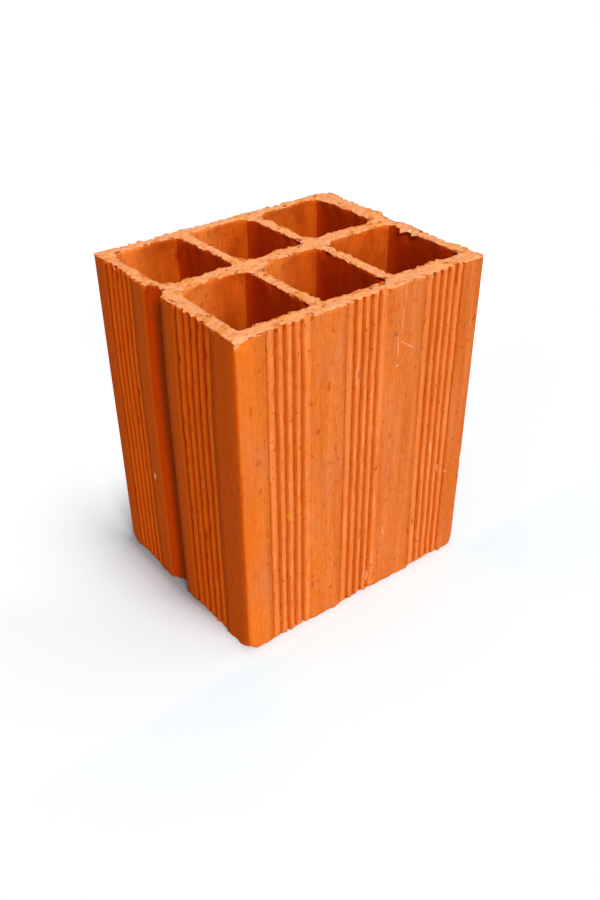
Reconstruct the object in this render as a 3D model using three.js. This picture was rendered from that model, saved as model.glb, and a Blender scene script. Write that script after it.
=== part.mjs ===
// Hollow clay building block with six cells, one extruded, wire-cut and fired body.
//
// Millimetres, +Z up. The block stands on one wire-cut end, with the cells running up through it.
// X runs along the long faces, Y along the short ones, and the origin is at the middle of the lower
// cut end. The whole block is one section, drawn in plan and extruded to the cut length: an outline
// with combs of plaster ribs on all four faces and a keyway in each short face, and six cells.

import * as THREE from 'three';

// The block
const blockLength = 156;
const blockDepth = 128;
const cutLength = 190;

// Corner radii of the section, worn unevenly by the die
const frontLeftRadius = 2;
const frontRightRadius = 2.5;
const backRightRadius = 11.5;
const backLeftRadius = 2;

// Cells, walls and webs. The cores of the die hang on thin bridges and are pushed aside, so no two
// cells are alike. Each row, the front one first, has end walls of its own, and its cores differ in
// length along X, each by its own amount from the row's mean.
const rows = [
  { leftWall: 8.8, rightWall: 7.4, coreDifference: [-1.1, -2.5, 3.6] },
  { leftWall: 7, rightWall: 12.7, coreDifference: [-0.4, -2.3, 2.7] },
];
const crossWeb = 6.5;
const cellCornerRadius = 5.5;

// Each column has walls of its own at the front and back, and the web between its two cells drifts
// towards the back by its own amount.
const columns = [
  { frontWall: 9, backWall: 7.6, webDrift: 1.5 },
  { frontWall: 8.8, backWall: 8.2, webDrift: 3 },
  { frontWall: 11.4, backWall: 7.4, webDrift: 5 },
];
const longWeb = 9;

// Combs of plaster ribs: narrow grooves with rounded ribs between them, the outer grooves shallower
const ribsPerComb = 5;
const grooveDepth = 1.5;
const endGrooveDepth = 0.9;
const ribSink = 0.35;
const combShoulder = 1.2;
const longFacePitch = 5.1;
const shortFaceFrontPitch = 5.8;
const shortFaceBackPitch = 4.9;

// How far the combs of the front face lie from the middles of its cells along X
const frontCombDrift = [1.1, 1.4, 3];

// Middles of the two combs of each short face along Y
const shortFaceFrontComb = -28.5;
const shortFaceBackComb = 39.5;

// Keyway for mortar in each short face
const keywayMouth = 17;
const keywayFloor = 4;
const keywayDepth = 4.4;
const keywayOffset = 6;

// Smoothness of each curved stretch
const curveSteps = 6;

const firedClay = new THREE.MeshStandardMaterial({ color: 0xe07a3a, roughness: 0.92, metalness: 0 });

const sumOf = (values) => values.reduce((sum, value) => sum + value, 0);
// Lengths along X of the cells of a row
function cellLengths({ leftWall, rightWall, coreDifference }) {
  const webs = (coreDifference.length - 1) * crossWeb;
  const allCells = blockLength - leftWall - rightWall - webs - sumOf(coreDifference);
  return coreDifference.map((difference) => allCells / coreDifference.length + difference);
}

// The sides of one cell, row 0 being the front one
function cellSides(column, row) {
  const lengths = cellLengths(rows[row]);
  const left = -blockLength / 2 + rows[row].leftWall + sumOf(lengths.slice(0, column)) + column * crossWeb;
  const { frontWall, backWall, webDrift } = columns[column];
  const front = row === 0 ? -blockDepth / 2 + frontWall : webDrift + longWeb / 2;
  const back = row === 0 ? webDrift - longWeb / 2 : blockDepth / 2 - backWall;
  return { left, right: left + lengths[column], front, back };
}

function cellMiddleX(column, row) {
  const { left, right } = cellSides(column, row);
  return (left + right) / 2;
}

// A face of the section, walked anticlockwise. along() turns a distance along the face, measured
// from its middle, and a depth under its surface into a point of the plan.
function face(middle, direction) {
  const inward = new THREE.Vector2(-direction.y, direction.x);
  const along = (distance, depth) =>
    middle.clone().addScaledVector(direction, distance).addScaledVector(inward, depth);
  return { along };
}

const frontFace = face(new THREE.Vector2(0, -blockDepth / 2), new THREE.Vector2(1, 0));
const rightFace = face(new THREE.Vector2(blockLength / 2, 0), new THREE.Vector2(0, 1));
const backFace = face(new THREE.Vector2(0, blockDepth / 2), new THREE.Vector2(-1, 0));
const leftFace = face(new THREE.Vector2(-blockLength / 2, 0), new THREE.Vector2(0, -1));

function lineTo(outline, point) {
  outline.lineTo(point.x, point.y);
}

function curveTo(outline, control, point) {
  outline.quadraticCurveTo(control.x, control.y, point.x, point.y);
}

// Half the width of a comb, with its shoulder
function combReach(pitch) {
  return (ribsPerComb * pitch) / 2 + combShoulder;
}

// One comb: a shoulder down to the first groove, ribs from groove to groove, a shoulder up again.
// A quadratic curve reaches half the way to its control point, so the ribs' control lies outside.
function addComb(outline, side, middle, pitch) {
  const start = middle - (ribsPerComb * pitch) / 2;
  const depthOf = (groove) => (groove % ribsPerComb === 0 ? endGrooveDepth : grooveDepth);
  lineTo(outline, side.along(middle - combReach(pitch), 0));
  lineTo(outline, side.along(start, depthOf(0)));
  for (let rib = 0; rib < ribsPerComb; rib += 1) {
    const from = start + rib * pitch;
    const ribControl = 2 * ribSink - (depthOf(rib) + depthOf(rib + 1)) / 2;
    curveTo(outline, side.along(from + pitch / 2, ribControl), side.along(from + pitch, depthOf(rib + 1)));
  }
  lineTo(outline, side.along(middle + combReach(pitch), 0));
}

// The keyway: sides that curve down from the mouth to a flat floor
function addKeyway(outline, side, middle) {
  const mouthStart = middle - keywayMouth / 2;
  const mouthEnd = middle + keywayMouth / 2;
  const floorStart = middle - keywayFloor / 2;
  const floorEnd = middle + keywayFloor / 2;
  const startControl = (mouthStart + floorStart) / 2;
  const endControl = (mouthEnd + floorEnd) / 2;
  lineTo(outline, side.along(mouthStart, 0));
  curveTo(outline, side.along(startControl, keywayDepth), side.along(floorStart, keywayDepth));
  lineTo(outline, side.along(floorEnd, keywayDepth));
  curveTo(outline, side.along(endControl, keywayDepth), side.along(mouthEnd, 0));
}

// A rounded corner of the outline, from the end of one face to the start of the next
function addCorner(outline, side, halfWidth, radius, nextSide, nextHalfWidth) {
  lineTo(outline, side.along(halfWidth - radius, 0));
  curveTo(outline, side.along(halfWidth, 0), nextSide.along(-nextHalfWidth + radius, 0));
}

function blockOutline() {
  const halfLength = blockLength / 2;
  const halfDepth = blockDepth / 2;
  const besideBackComb = halfDepth - shortFaceBackComb - combReach(shortFaceBackPitch);
  const backRightFillet = Math.min(backRightRadius, besideBackComb);
  const outline = new THREE.Shape();

  const first = frontFace.along(-halfLength + frontLeftRadius, 0);
  outline.moveTo(first.x, first.y);
  for (let column = 0; column < columns.length; column += 1) {
    addComb(outline, frontFace, cellMiddleX(column, 0) + frontCombDrift[column], longFacePitch);
  }
  addCorner(outline, frontFace, halfLength, frontRightRadius, rightFace, halfDepth);

  addComb(outline, rightFace, shortFaceFrontComb, shortFaceFrontPitch);
  addKeyway(outline, rightFace, keywayOffset);
  addComb(outline, rightFace, shortFaceBackComb, shortFaceBackPitch);
  addCorner(outline, rightFace, halfDepth, backRightFillet, backFace, halfLength);

  for (let column = columns.length - 1; column >= 0; column -= 1) {
    addComb(outline, backFace, -cellMiddleX(column, 1), longFacePitch);
  }
  addCorner(outline, backFace, halfLength, backLeftRadius, leftFace, halfDepth);

  addComb(outline, leftFace, -shortFaceBackComb, shortFaceBackPitch);
  addKeyway(outline, leftFace, -keywayOffset);
  addComb(outline, leftFace, -shortFaceFrontComb, shortFaceFrontPitch);
  addCorner(outline, leftFace, halfDepth, frontLeftRadius, frontFace, halfLength);
  return outline;
}

// One cell: a rectangle with rounded corners, drawn clockwise as a hole
function cellHole(column, row) {
  const { left, right, front, back } = cellSides(column, row);
  const radius = cellCornerRadius;
  const middleX = (left + right) / 2;
  const middleY = (front + back) / 2;
  const x = (right - left) / 2;
  const y = (back - front) / 2;
  const hole = new THREE.Path();
  hole.moveTo(middleX - x, middleY - y + radius);
  hole.lineTo(middleX - x, middleY + y - radius);
  hole.absarc(middleX - x + radius, middleY + y - radius, radius, Math.PI, Math.PI / 2, true);
  hole.lineTo(middleX + x - radius, middleY + y);
  hole.absarc(middleX + x - radius, middleY + y - radius, radius, Math.PI / 2, 0, true);
  hole.lineTo(middleX + x, middleY - y + radius);
  hole.absarc(middleX + x - radius, middleY - y + radius, radius, 0, -Math.PI / 2, true);
  hole.lineTo(middleX - x + radius, middleY - y);
  hole.absarc(middleX - x + radius, middleY - y + radius, radius, -Math.PI / 2, -Math.PI, true);
  return hole;
}

function blockSection() {
  const section = blockOutline();
  for (let column = 0; column < columns.length; column += 1) {
    for (let row = 0; row < rows.length; row += 1) {
      section.holes.push(cellHole(column, row));
    }
  }
  return section;
}

const blockGeometry = new THREE.ExtrudeGeometry(blockSection(), {
  depth: cutLength,
  bevelEnabled: false,
  curveSegments: curveSteps,
  steps: 1,
});

const hollowClayBlock = new THREE.Mesh(blockGeometry, firedClay);
hollowClayBlock.name = 'hollow_clay_block';

const clayBrick = new THREE.Group();
clayBrick.add(hollowClayBlock);

export default clayBrick;
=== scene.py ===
# %% [markdown]
# # A hollow clay block
# The object is one body of fired clay. A press pushes soft clay through a die, a wire cuts the
# column to length, and the kiln turns it orange. The die leaves smooth, dragged faces with combs
# of ribs, and the wire leaves two torn, pale ends with ragged rims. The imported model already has
# the true section and length, so a copy of it is roughened rather than a new block drawn.

# %% Load the frame
import math

import bmesh
import bpy
import numpy as np
from mathutils import Matrix, Vector, kdtree, noise


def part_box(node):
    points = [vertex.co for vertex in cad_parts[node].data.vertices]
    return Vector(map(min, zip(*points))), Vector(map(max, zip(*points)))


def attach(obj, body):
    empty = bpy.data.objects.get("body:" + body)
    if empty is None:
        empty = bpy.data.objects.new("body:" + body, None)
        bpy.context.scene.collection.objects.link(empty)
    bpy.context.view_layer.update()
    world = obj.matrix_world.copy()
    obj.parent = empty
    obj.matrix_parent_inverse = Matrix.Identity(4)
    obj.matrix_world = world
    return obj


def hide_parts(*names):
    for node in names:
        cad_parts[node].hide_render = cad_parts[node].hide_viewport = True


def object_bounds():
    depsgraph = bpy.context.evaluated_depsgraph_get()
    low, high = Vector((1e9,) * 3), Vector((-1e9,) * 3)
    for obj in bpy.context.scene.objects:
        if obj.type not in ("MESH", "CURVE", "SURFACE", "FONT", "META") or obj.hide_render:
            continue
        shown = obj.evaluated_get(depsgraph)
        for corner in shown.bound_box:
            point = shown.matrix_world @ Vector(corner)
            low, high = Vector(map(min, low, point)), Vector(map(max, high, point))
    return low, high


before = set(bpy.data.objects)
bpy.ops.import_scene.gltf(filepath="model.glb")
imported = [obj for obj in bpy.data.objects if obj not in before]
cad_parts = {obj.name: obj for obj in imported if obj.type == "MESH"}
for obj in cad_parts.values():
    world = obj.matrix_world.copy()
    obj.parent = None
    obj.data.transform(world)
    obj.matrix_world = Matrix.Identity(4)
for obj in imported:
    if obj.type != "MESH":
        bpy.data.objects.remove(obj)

MM = 0.001
NODE = "hollow_clay_block"
cad_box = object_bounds()
low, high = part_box(NODE)
print("block, mm:", [round(side / MM, 1) for side in high - low])

# %% [markdown]
# ## The camera
# The block is seen from above its front left corner, from so near that its edges converge
# strongly. A constraint could aim the camera, but one matrix sets its place and all its turns.

# %% Camera
CAMERA_PLACE = Vector((-276.1, -366.6, 375.7)) * MM
CAMERA_TURN = math.radians(-37.66)
CAMERA_TILT = math.radians(90 - 36.80)
CAMERA_ROLL = math.radians(-0.30)
CAMERA_LENS = 37.42
CAMERA_RISE = 50 / 900

camera_data = bpy.data.cameras.new("camera")
camera_data.lens = CAMERA_LENS
camera_data.sensor_width = 36
camera_data.shift_y = CAMERA_RISE
camera = bpy.data.objects.new("camera", camera_data)
turned = (
    Matrix.Rotation(CAMERA_TURN, 4, "Z")
    @ Matrix.Rotation(CAMERA_TILT, 4, "X")
    @ Matrix.Rotation(CAMERA_ROLL, 4, "Z")
)
camera.matrix_world = Matrix.Translation(CAMERA_PLACE) @ turned
bpy.context.scene.collection.objects.link(camera)
bpy.context.scene.camera = camera
print("camera to block, mm:", round((CAMERA_PLACE - (low + high) / 2).length / MM))

# %% [markdown]
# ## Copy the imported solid
# Torn rims and wavering ribs need points to move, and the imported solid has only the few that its
# section needs. So a copy is cut into a finer net first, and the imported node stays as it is. The
# copy's triangles are loose, so doubles are merged before anything else.

# %% Copy and merge
bpy.ops.object.select_all(action="DESELECT")
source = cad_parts[NODE]
source.select_set(True)
bpy.context.view_layer.objects.active = source
bpy.ops.object.duplicate()
block = bpy.context.active_object
block.name = "fired_clay_block"
block.data.name = "fired_clay_block"
block.data.materials.clear()

SAME_POINT = 0.01 * MM
bpy.ops.object.mode_set(mode="EDIT")
bpy.ops.mesh.select_mode(type="FACE")
bpy.ops.mesh.select_all(action="SELECT")
bpy.ops.mesh.remove_doubles(threshold=SAME_POINT)
bpy.ops.mesh.tris_convert_to_quads(face_threshold=0.01, shape_threshold=math.pi)
print("faces of the merged copy:", len(bmesh.from_edit_mesh(block.data).faces))

# %% [markdown]
# Loop cuts would need a window, so the bisect operator does the cutting. It slices only the faces
# that are selected, and their neighbours gain the new corners, so the skin stays closed.

# %% Helpers that pick and slice faces
X, Y, Z = 0, 1, 2
SKIN_DEPTH = 6.0 * MM
top, bottom = high.z, low.z


def select_faces(wanted):
    """Select the faces of the block that wanted() says yes to."""
    mesh = bmesh.from_edit_mesh(block.data)
    for face in mesh.faces:
        face.select_set(False)
    for face in mesh.faces:
        if wanted(face):
            face.select_set(True)
    bmesh.update_edit_mesh(block.data)


def slice_faces(wanted, axis, places):
    """Cut the chosen faces by planes square to an axis."""
    normal = [float(axis == way) for way in (X, Y, Z)]
    for place in places:
        select_faces(wanted)
        point = [place * part for part in normal]
        bpy.ops.mesh.bisect(plane_co=point, plane_no=normal, threshold=SAME_POINT)


def even_places(start, end, step):
    """Places between two ends, evenly spaced and about a step apart."""
    count = max(1, round((end - start) / step))
    return [start + (end - start) * (index + 0.5) / count for index in range(count)]


def span(face, axis):
    """The lowest and highest place of a face along an axis."""
    places = [corner.co[axis] for corner in face.verts]
    return min(places), max(places)


def edge_distance(point):
    """How deep a point lies under the nearest outer face, seen in plan."""
    return min(point.x - low.x, high.x - point.x, point.y - low.y, high.y - point.y)


def is_wall(face):
    return abs(face.normal.z) < 0.5


def is_skin_wall(face):
    return is_wall(face) and edge_distance(face.calc_center_median()) < SKIN_DEPTH


def is_cell_wall(face):
    return is_wall(face) and edge_distance(face.calc_center_median()) >= SKIN_DEPTH


# %% [markdown]
# ## A net fine enough to shape
# The combs already have a column of faces every millimetre or so. The plain bands and the cell
# walls are single wide faces, so they get columns too, closer together on the cell walls, whose
# rims are torn.

# %% Columns in the wide faces
WIDE = 4.5 * MM
BAND_STEP = 2.4 * MM
CELL_STEP = 1.9 * MM
SLACK = 0.02 * MM

wide_faces = []
for face in bmesh.from_edit_mesh(block.data).faces:
    if is_wall(face):
        along = X if abs(face.normal.y) > 0.9 else Y
        start, end = span(face, along)
        if end - start > WIDE:
            wide_faces.append((along, start, end, face.calc_center_median()[1 - along]))

for along, start, end, depth in wide_faces:
    def in_wide_face(face):
        first, last = span(face, along)
        level = abs(face.calc_center_median()[1 - along] - depth) < SLACK
        return level and is_wall(face) and first > start - SLACK and last < end + SLACK

    outer = min(depth - low[1 - along], high[1 - along] - depth) < SKIN_DEPTH
    step = BAND_STEP if outer else CELL_STEP
    slice_faces(in_wide_face, along, even_places(start, end, step)[:-1])
print("wide faces given columns:", len(wide_faces))

# %% [markdown]
# The clay tore within about two millimetres of each cut. That zone gets two rows and then a grid
# across the whole end. The upper end is what everyone looks at, so its grid is finer.

# %% A grid over the cut ends
TORN_ROWS = (0.9, 2.2)
TORN_DEPTH = 2.3 * MM
TOP_STEP = 1.5 * MM
BASE_STEP = 3.4 * MM


def near_top(face):
    return span(face, Z)[0] > top - TORN_DEPTH


def near_base(face):
    return span(face, Z)[1] < bottom + TORN_DEPTH


slice_faces(is_wall, Z, [bottom + row * MM for row in TORN_ROWS])
slice_faces(is_wall, Z, [top - row * MM for row in TORN_ROWS])
grid_lines = {}
for end_name, wanted, step in (("top", near_top, TOP_STEP), ("base", near_base, BASE_STEP)):
    lines = even_places(low.x, high.x, step), even_places(low.y, high.y, step)
    slice_faces(wanted, X, lines[X])
    slice_faces(wanted, Y, lines[Y])
    grid_lines[end_name] = lines
    print(end_name, "grid lines:", len(lines[X]), "by", len(lines[Y]))

# %% [markdown]
# The ends came as long triangles, whose slanting edges still run through every grid square. They
# are the edges of an end that lie on no rim and on no slice, and they are dissolved. Slivers,
# where a slice passed close to a corner, are collapsed.

# %% Clean the grid
SLIVER = 0.15 * MM


def on_line(value, lines):
    return min(abs(value - line) for line in lines) < SAME_POINT / 2


bpy.ops.mesh.select_mode(type="EDGE")
bpy.ops.mesh.select_all(action="DESELECT")
mesh = bmesh.from_edit_mesh(block.data)
slanting = 0
for edge in mesh.edges:
    if min(abs(face.normal.z) for face in edge.link_faces) < 0.9:
        continue
    first, second = (corner.co for corner in edge.verts)
    x_lines, y_lines = grid_lines["top" if first.z > (top + bottom) / 2 else "base"]
    on_x_line = abs(first.x - second.x) < SAME_POINT and on_line(first.x, x_lines)
    on_y_line = abs(first.y - second.y) < SAME_POINT and on_line(first.y, y_lines)
    if not on_x_line and not on_y_line:
        edge.select_set(True)
        slanting += 1
bmesh.update_edit_mesh(block.data)
bpy.ops.mesh.dissolve_edges(use_verts=True, use_face_split=False)
print("slanting edges dissolved:", slanting)

bpy.ops.mesh.select_mode(type="FACE")
select_faces(lambda face: near_top(face) or near_base(face))
bpy.ops.mesh.dissolve_degenerate(threshold=SLIVER)

# %% [markdown]
# Next come the other rows up the walls, close together near the ends and further apart between,
# and fewer in the cells, which can hardly be seen below their rims. The torn upper zone is
# subdivided once more, and everything ends as triangles.

# %% Rows up the walls
NEAR_ROWS = (3.6, 5.2, 7.4, 11.0)
SKIN_ROW_STEP = 4.0 * MM
CELL_ROW_STEP = 14.0 * MM

first_row, last_row = bottom + NEAR_ROWS[-1] * MM, top - NEAR_ROWS[-1] * MM
slice_faces(is_wall, Z, [bottom + row * MM for row in NEAR_ROWS])
slice_faces(is_wall, Z, [top - row * MM for row in NEAR_ROWS])
slice_faces(is_skin_wall, Z, even_places(first_row, last_row, SKIN_ROW_STEP))
slice_faces(is_cell_wall, Z, even_places(first_row, last_row, CELL_ROW_STEP))

select_faces(near_top)
bpy.ops.mesh.subdivide(number_cuts=1, smoothness=0)
bpy.ops.mesh.select_all(action="SELECT")
bpy.ops.mesh.quads_convert_to_tris(quad_method="BEAUTY", ngon_method="BEAUTY")
bpy.ops.mesh.normals_make_consistent(inside=False)
bpy.ops.object.mode_set(mode="OBJECT")
print("net:", len(block.data.vertices), "corners,", len(block.data.polygons), "triangles")

# %% [markdown]
# ## Where the clay is soft, torn or dragged
# Everything that follows moves the corners of the net a little. How far depends on where a corner
# is: on the extruded skin, a cell wall or a cut end, and how near a rim. A sculptor would mask
# those zones by hand. Here they are read once, before anything moves.

# %% Read the net
skin_mesh = block.data
count = len(skin_mesh.vertices)
start_places, normals = np.empty((2, count, 3))
skin_mesh.vertices.foreach_get("co", start_places.ravel())
skin_mesh.vertex_normals.foreach_get("vector", normals.ravel())

on_end = np.zeros(count, bool)
wall_normals = np.zeros((count, 3))
for polygon in skin_mesh.polygons:
    corners = list(polygon.vertices)
    if abs(polygon.normal.z) > 0.5:
        on_end[corners] = True
    else:
        wall_normals[corners] += np.array(polygon.normal) * polygon.area
on_wall = np.abs(wall_normals).sum(axis=1) > 0
wall_normals[on_wall] /= np.linalg.norm(wall_normals[on_wall], axis=1)[:, None]
on_rim = on_end & on_wall

x, y, z = start_places.T
under_face = np.minimum(np.minimum(x - low.x, high.x - x), np.minimum(y - low.y, high.y - y))
on_skin = on_wall & (under_face < SKIN_DEPTH)
in_cell = on_wall & ~on_skin
print("corners on ends, skin, cells:", on_end.sum(), on_skin.sum(), in_cell.sum())

rim_tree = kdtree.KDTree(int(on_rim.sum()))
for index in np.flatnonzero(on_rim):
    rim_tree.insert(start_places[index], index)
rim_tree.balance()
to_rim = np.array([rim_tree.find(place)[2] for place in start_places])

# %% [markdown]
# Every unevenness comes from smooth noise, read at a corner's place. A size says how far apart
# its hills lie, a seed picks other hills, and a stretch draws them out, as drag marks are. A
# Displace modifier for each would need a mask for each.

# %% Helpers for uneven clay
ALONG_X, ALONG_Y = np.eye(3)[:2]
moved = start_places.copy()


def uneven(size, seed, stretch=(1, 1, 1)):
    """Smooth noise from about -1 to 1 at every corner, with hills a size in mm apart."""
    scaled = start_places / (size * MM * np.array(stretch)) + seed * 17.3
    return np.array([noise.noise(place) for place in scaled])


def ramp(values, start, end):
    """Rise smoothly from 0 at start to 1 at end."""
    part = np.clip((values - start) / (end - start), 0, 1)
    return part * part * (3 - 2 * part)


def push(direction, amount):
    """Move every corner along a direction by an amount in mm."""
    moved[:] = moved + np.asarray(direction) * (np.asarray(amount) * MM)[:, None]


# %% [markdown]
# ## The die's marks
# Clay leaving a die wanders: combs lean, ribs sway and the grooves open and close. The skin moves
# along itself or inwards, never outwards, so the block keeps its size. In front, the right comb
# leans towards its foot. On the left, the combs sit further back and bend forwards near the top.

# %% Lean of the combs
LEAN = 2.6
BEND = 2.2
LEFT_SHIFT = 1.9
skin = on_skin.astype(float)
faces_front = skin * (wall_normals[:, 1] < -0.3) * (y < low.y + SKIN_DEPTH)
faces_left = skin * (x < low.x + SKIN_DEPTH)
height = (z - bottom) / (top - bottom)
right_comb = ramp(x, 18 * MM, 38 * MM) * (1 - ramp(x, 46 * MM, 70 * MM))
push(ALONG_X, LEAN * faces_front * right_comb * (1 - height) ** 2)
off_corners = 1 - ramp(np.abs(y), 48 * MM, 61 * MM)
push(ALONG_Y, faces_left * off_corners * (LEFT_SHIFT - BEND * ramp(height, 0.70, 1.0)))
print("corners on the front and left skin:", int(faces_front.sum()), int(faces_left.sum()))

# %% [markdown]
# The left keyway is steep in front and slopes gently behind. A corner that lies deeper moves
# further, so the floor of the keyway gets narrower and its mouth stays.

# %% A gentler back slope in the left keyway
SLOPE_RUN = 2.4
KEYWAY_DEPTH = 4.4 * MM
back_half = faces_left * (np.abs(y - 8 * MM) < 8 * MM) * ramp(y, 1 * MM, 10.5 * MM)
push(ALONG_Y, -SLOPE_RUN * back_half * under_face / KEYWAY_DEPTH)
print("corners on the back slope:", int((back_half > 0).sum()))

# %% [markdown]
# The front left edge was rubbed round in handling. A bevel would add faces, so the corners that
# lie outside a quarter circle are pulled onto it instead.

# %% Worn front left edge
EDGE_RADIUS = 5 * MM
arc_middle = np.array([low.x, low.y, 0]) + (EDGE_RADIUS, EDGE_RADIUS, 0)
from_middle = (start_places - arc_middle) * (1, 1, 0)
distance = np.linalg.norm(from_middle, axis=1)
beyond = skin * (from_middle[:, 0] < 0) * (from_middle[:, 1] < 0) * (distance > EDGE_RADIUS)
outwards = from_middle / np.maximum(distance, SAME_POINT)[:, None]
push(-outwards, beyond * (distance - EDGE_RADIUS) / MM)
print("corners rubbed off the edge:", int(beyond.sum()))

# %% [markdown]
# The right keyway dips less than the left one, so it is filled by a share of its depth.

# %% A keyway less deep on the right
KEYWAY_FILL = 0.65
KEYWAY_REACH = 20 * MM
faces_right = skin * (x > high.x - SKIN_DEPTH) * (np.abs(y) < KEYWAY_REACH)
push(ALONG_X, faces_right * KEYWAY_FILL * under_face / MM)
print("corners in the right keyway:", int((faces_right * (under_face > MM)).sum()))

# %% [markdown]
# Is a corner in a groove, on the crest of a rib, or in one of the shallower grooves that end a
# comb? Its depth under the plain face tells. Three of the end grooves are almost worn away.

# %% Grooves and crests
END_GROOVE = 0.9
# face, place along it, middle and half width in mm
FAINT_GROOVES = (
    (faces_front, x, -35.6, 1.0), (faces_front, x, 11.8, 1.3), (faces_left, y, -16.0, 1.2),
)
recess = np.clip(under_face / MM, 0, 2)
in_comb = (recess > 0.2) & on_skin
end_groove = skin * (np.abs(recess - END_GROOVE) < SAME_POINT / MM)
faint = np.zeros(count)
for face, along, middle, half_width in FAINT_GROOVES:
    faint = faint + face * (np.abs(along / MM - middle) < half_width)
end_groove = end_groove * (1 - 0.8 * faint)
in_groove = np.maximum(ramp(recess, 0.9, 1.4) * skin, end_groove)
on_crest = in_comb * (1 - ramp(recess, 0.4, 0.8))
print("corners in grooves, on crests:", int((in_groove > 0.5).sum()), int((on_crest > 0.5).sum()))

# %% [markdown]
# The ribs sway together in long waves, and each a little by itself. The skin sinks in soft
# hollows and in fine lines along the drag. Then the grooves are dug deeper here and there, the
# crests are worn and nicked, and the faint grooves are filled again.

# %% Sway, drag and nicks on the skin
SWAY = 0.45
HOLLOW = 0.25
DRAG = 0.12
GROOVE_EXTRA = 0.55
FRONT_GROOVE_EXTRA = 0.6
FAINT_FILL = 0.4
CREST_WEAR = 0.12
NICK = 0.7

sideways = np.cross(wall_normals, (0, 0, 1))
along_face = np.where(np.abs(wall_normals[:, 1]) > 0.5, high.x - np.abs(x), high.y - np.abs(y))
off_corner = ramp(along_face, 2 * MM, 9 * MM)
push(sideways, skin * off_corner * SWAY * uneven(11, 1, (1, 1, 2.5)))
push(sideways, in_comb * 0.5 * SWAY * uneven(4, 21, (1, 1, 3)))
push(-wall_normals, skin * HOLLOW * (0.5 + 0.5 * uneven(70, 2)))
push(-wall_normals, skin * DRAG * (1 + uneven(2.4, 3, (1, 1, 30))))

push(-wall_normals, in_groove * GROOVE_EXTRA * (0.8 + uneven(8, 4, (1, 1, 3))))
push(-wall_normals, end_groove * (0.5 + faces_left * (y < 30 * MM)) * GROOVE_EXTRA)
push(-wall_normals, end_groove * faces_left * (y < -44 * MM) * FRONT_GROOVE_EXTRA)
push(wall_normals, faint * (recess > 0.85) * (FAINT_FILL + 0.3 * faces_left))
push(-wall_normals, on_crest * CREST_WEAR * (1 + uneven(5, 22, (1, 1, 3))))
nicks = ramp(uneven(4, 5, (1, 1, 1.6)), 0.30, 0.62)
push(-wall_normals, in_comb * (1 - in_groove) * NICK * nicks)
print("corners nicked:", int((in_comb * nicks > 0.5).sum()))

# %% [markdown]
# ## The cells
# Cores that float on thin bridges in the die form the cells. They are worn unevenly: most back
# corners are blunt and most front ones sharp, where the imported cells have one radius. A blunt
# corner pulls the clay in to a larger arc. A sharp one pushes it out to a smaller arc, and the cut
# end around it gives way over a few millimetres.

# %% Corners of the cells
PACKED_RADIUS = 5.5
CORNER_SPAN = 4.0
# left, right, front and back wall, then the radii: front left, front right, back left, back right
CELLS = (
    (-69.2, -28.03, -55.0, -3.0, 1.5, 2.5, 8.0, 7.5),
    (-21.53, 18.23, -55.2, -1.5, 2.0, 2.5, 13.0, 7.0),
    (24.73, 70.6, -52.6, 0.5, 1.5, 3.0, 8.5, 8.0),
    (-71.0, -30.3, 6.0, 56.4, 8.5, 2.5, 8.5, 9.5),
    (-23.8, 15.0, 7.5, 55.8, 7.0, 2.5, 8.0, 9.0),
    (21.5, 65.3, 9.5, 56.6, 7.5, 7.5, 8.0, 8.0),
)
cell = in_cell.astype(float)


def round_corner(wall_x, wall_y, side, way, radius):
    """Give one corner of a cell a new radius; side and way lead from the corner into the cell."""
    larger = max(radius, PACKED_RADIUS)
    middle = np.array([wall_x + side * larger, wall_y + way * larger, 0]) * MM
    from_middle = (start_places - middle) * (-side, -way, 0) / MM
    distance = np.linalg.norm(from_middle, axis=1)
    heading = from_middle / np.maximum(distance, 0.01)[:, None]
    in_quarter = (from_middle[:, 0] > 0) & (from_middle[:, 1] > 0)
    if radius > PACKED_RADIUS:
        here = in_quarter * cell * (distance < 1.5 * radius)
        gain = np.minimum(radius - distance, 0)
    else:
        apart = PACKED_RADIUS - radius
        along = apart * (heading[:, 0] + heading[:, 1])
        to_arc = along + np.sqrt(np.maximum(along ** 2 - 2 * apart ** 2 + radius ** 2, 0))
        to_wall = PACKED_RADIUS / np.maximum(heading[:, 0], heading[:, 1]).clip(0.7)
        meets_arc = np.minimum(heading[:, 0], heading[:, 1]) * to_arc > apart
        here = in_quarter & (in_cell | on_end) & (distance > PACKED_RADIUS - 0.1)
        gain = np.where(meets_arc, to_arc, to_wall) - PACKED_RADIUS
        gain = gain * (1 - (distance - PACKED_RADIUS) / CORNER_SPAN).clip(0, 1)
    push(heading * (-side, -way, 0), here * gain)


for cell_left, cell_right, cell_front, cell_back, *radii in CELLS:
    round_corner(cell_left, cell_front, 1, 1, radii[0])
    round_corner(cell_right, cell_front, -1, 1, radii[1])
    round_corner(cell_left, cell_back, 1, -1, radii[2])
    round_corner(cell_right, cell_back, -1, -1, radii[3])
print("cell corners given a radius of their own:", 4 * len(CELLS))

# %% [markdown]
# The cores also sway, so the walls swell and pinch. Each wall moves as a whole, which keeps the
# cell smooth further down. Near the cut the wire dragged the soft walls about, so the outline of
# every cell wanders more.

# %% Swelling cell walls
CELL_SWELL = 0.9
CELL_DRAG = 0.2
CELL_WANDER = 1.4
inner = ramp(under_face, 4 * MM, 9 * MM)
for direction, seed in ((ALONG_X, 6), (ALONG_Y, 7)):
    push(direction, inner * CELL_SWELL * uneven(30, seed, (1, 1, 4)))
push(wall_normals, cell * CELL_DRAG * uneven(4, 8, (1, 1, 25)))
below_top = (top - z) / MM
wander = uneven(9, 23, (1, 1, 2)) + 0.5 * uneven(4, 24, (1, 1, 2))
push(wall_normals, cell * (1 - ramp(below_top, 1, 12)) * CELL_WANDER * wander)
print("widest wander, mm:", round(float(np.abs(wander).max()) * CELL_WANDER, 1))

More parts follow.
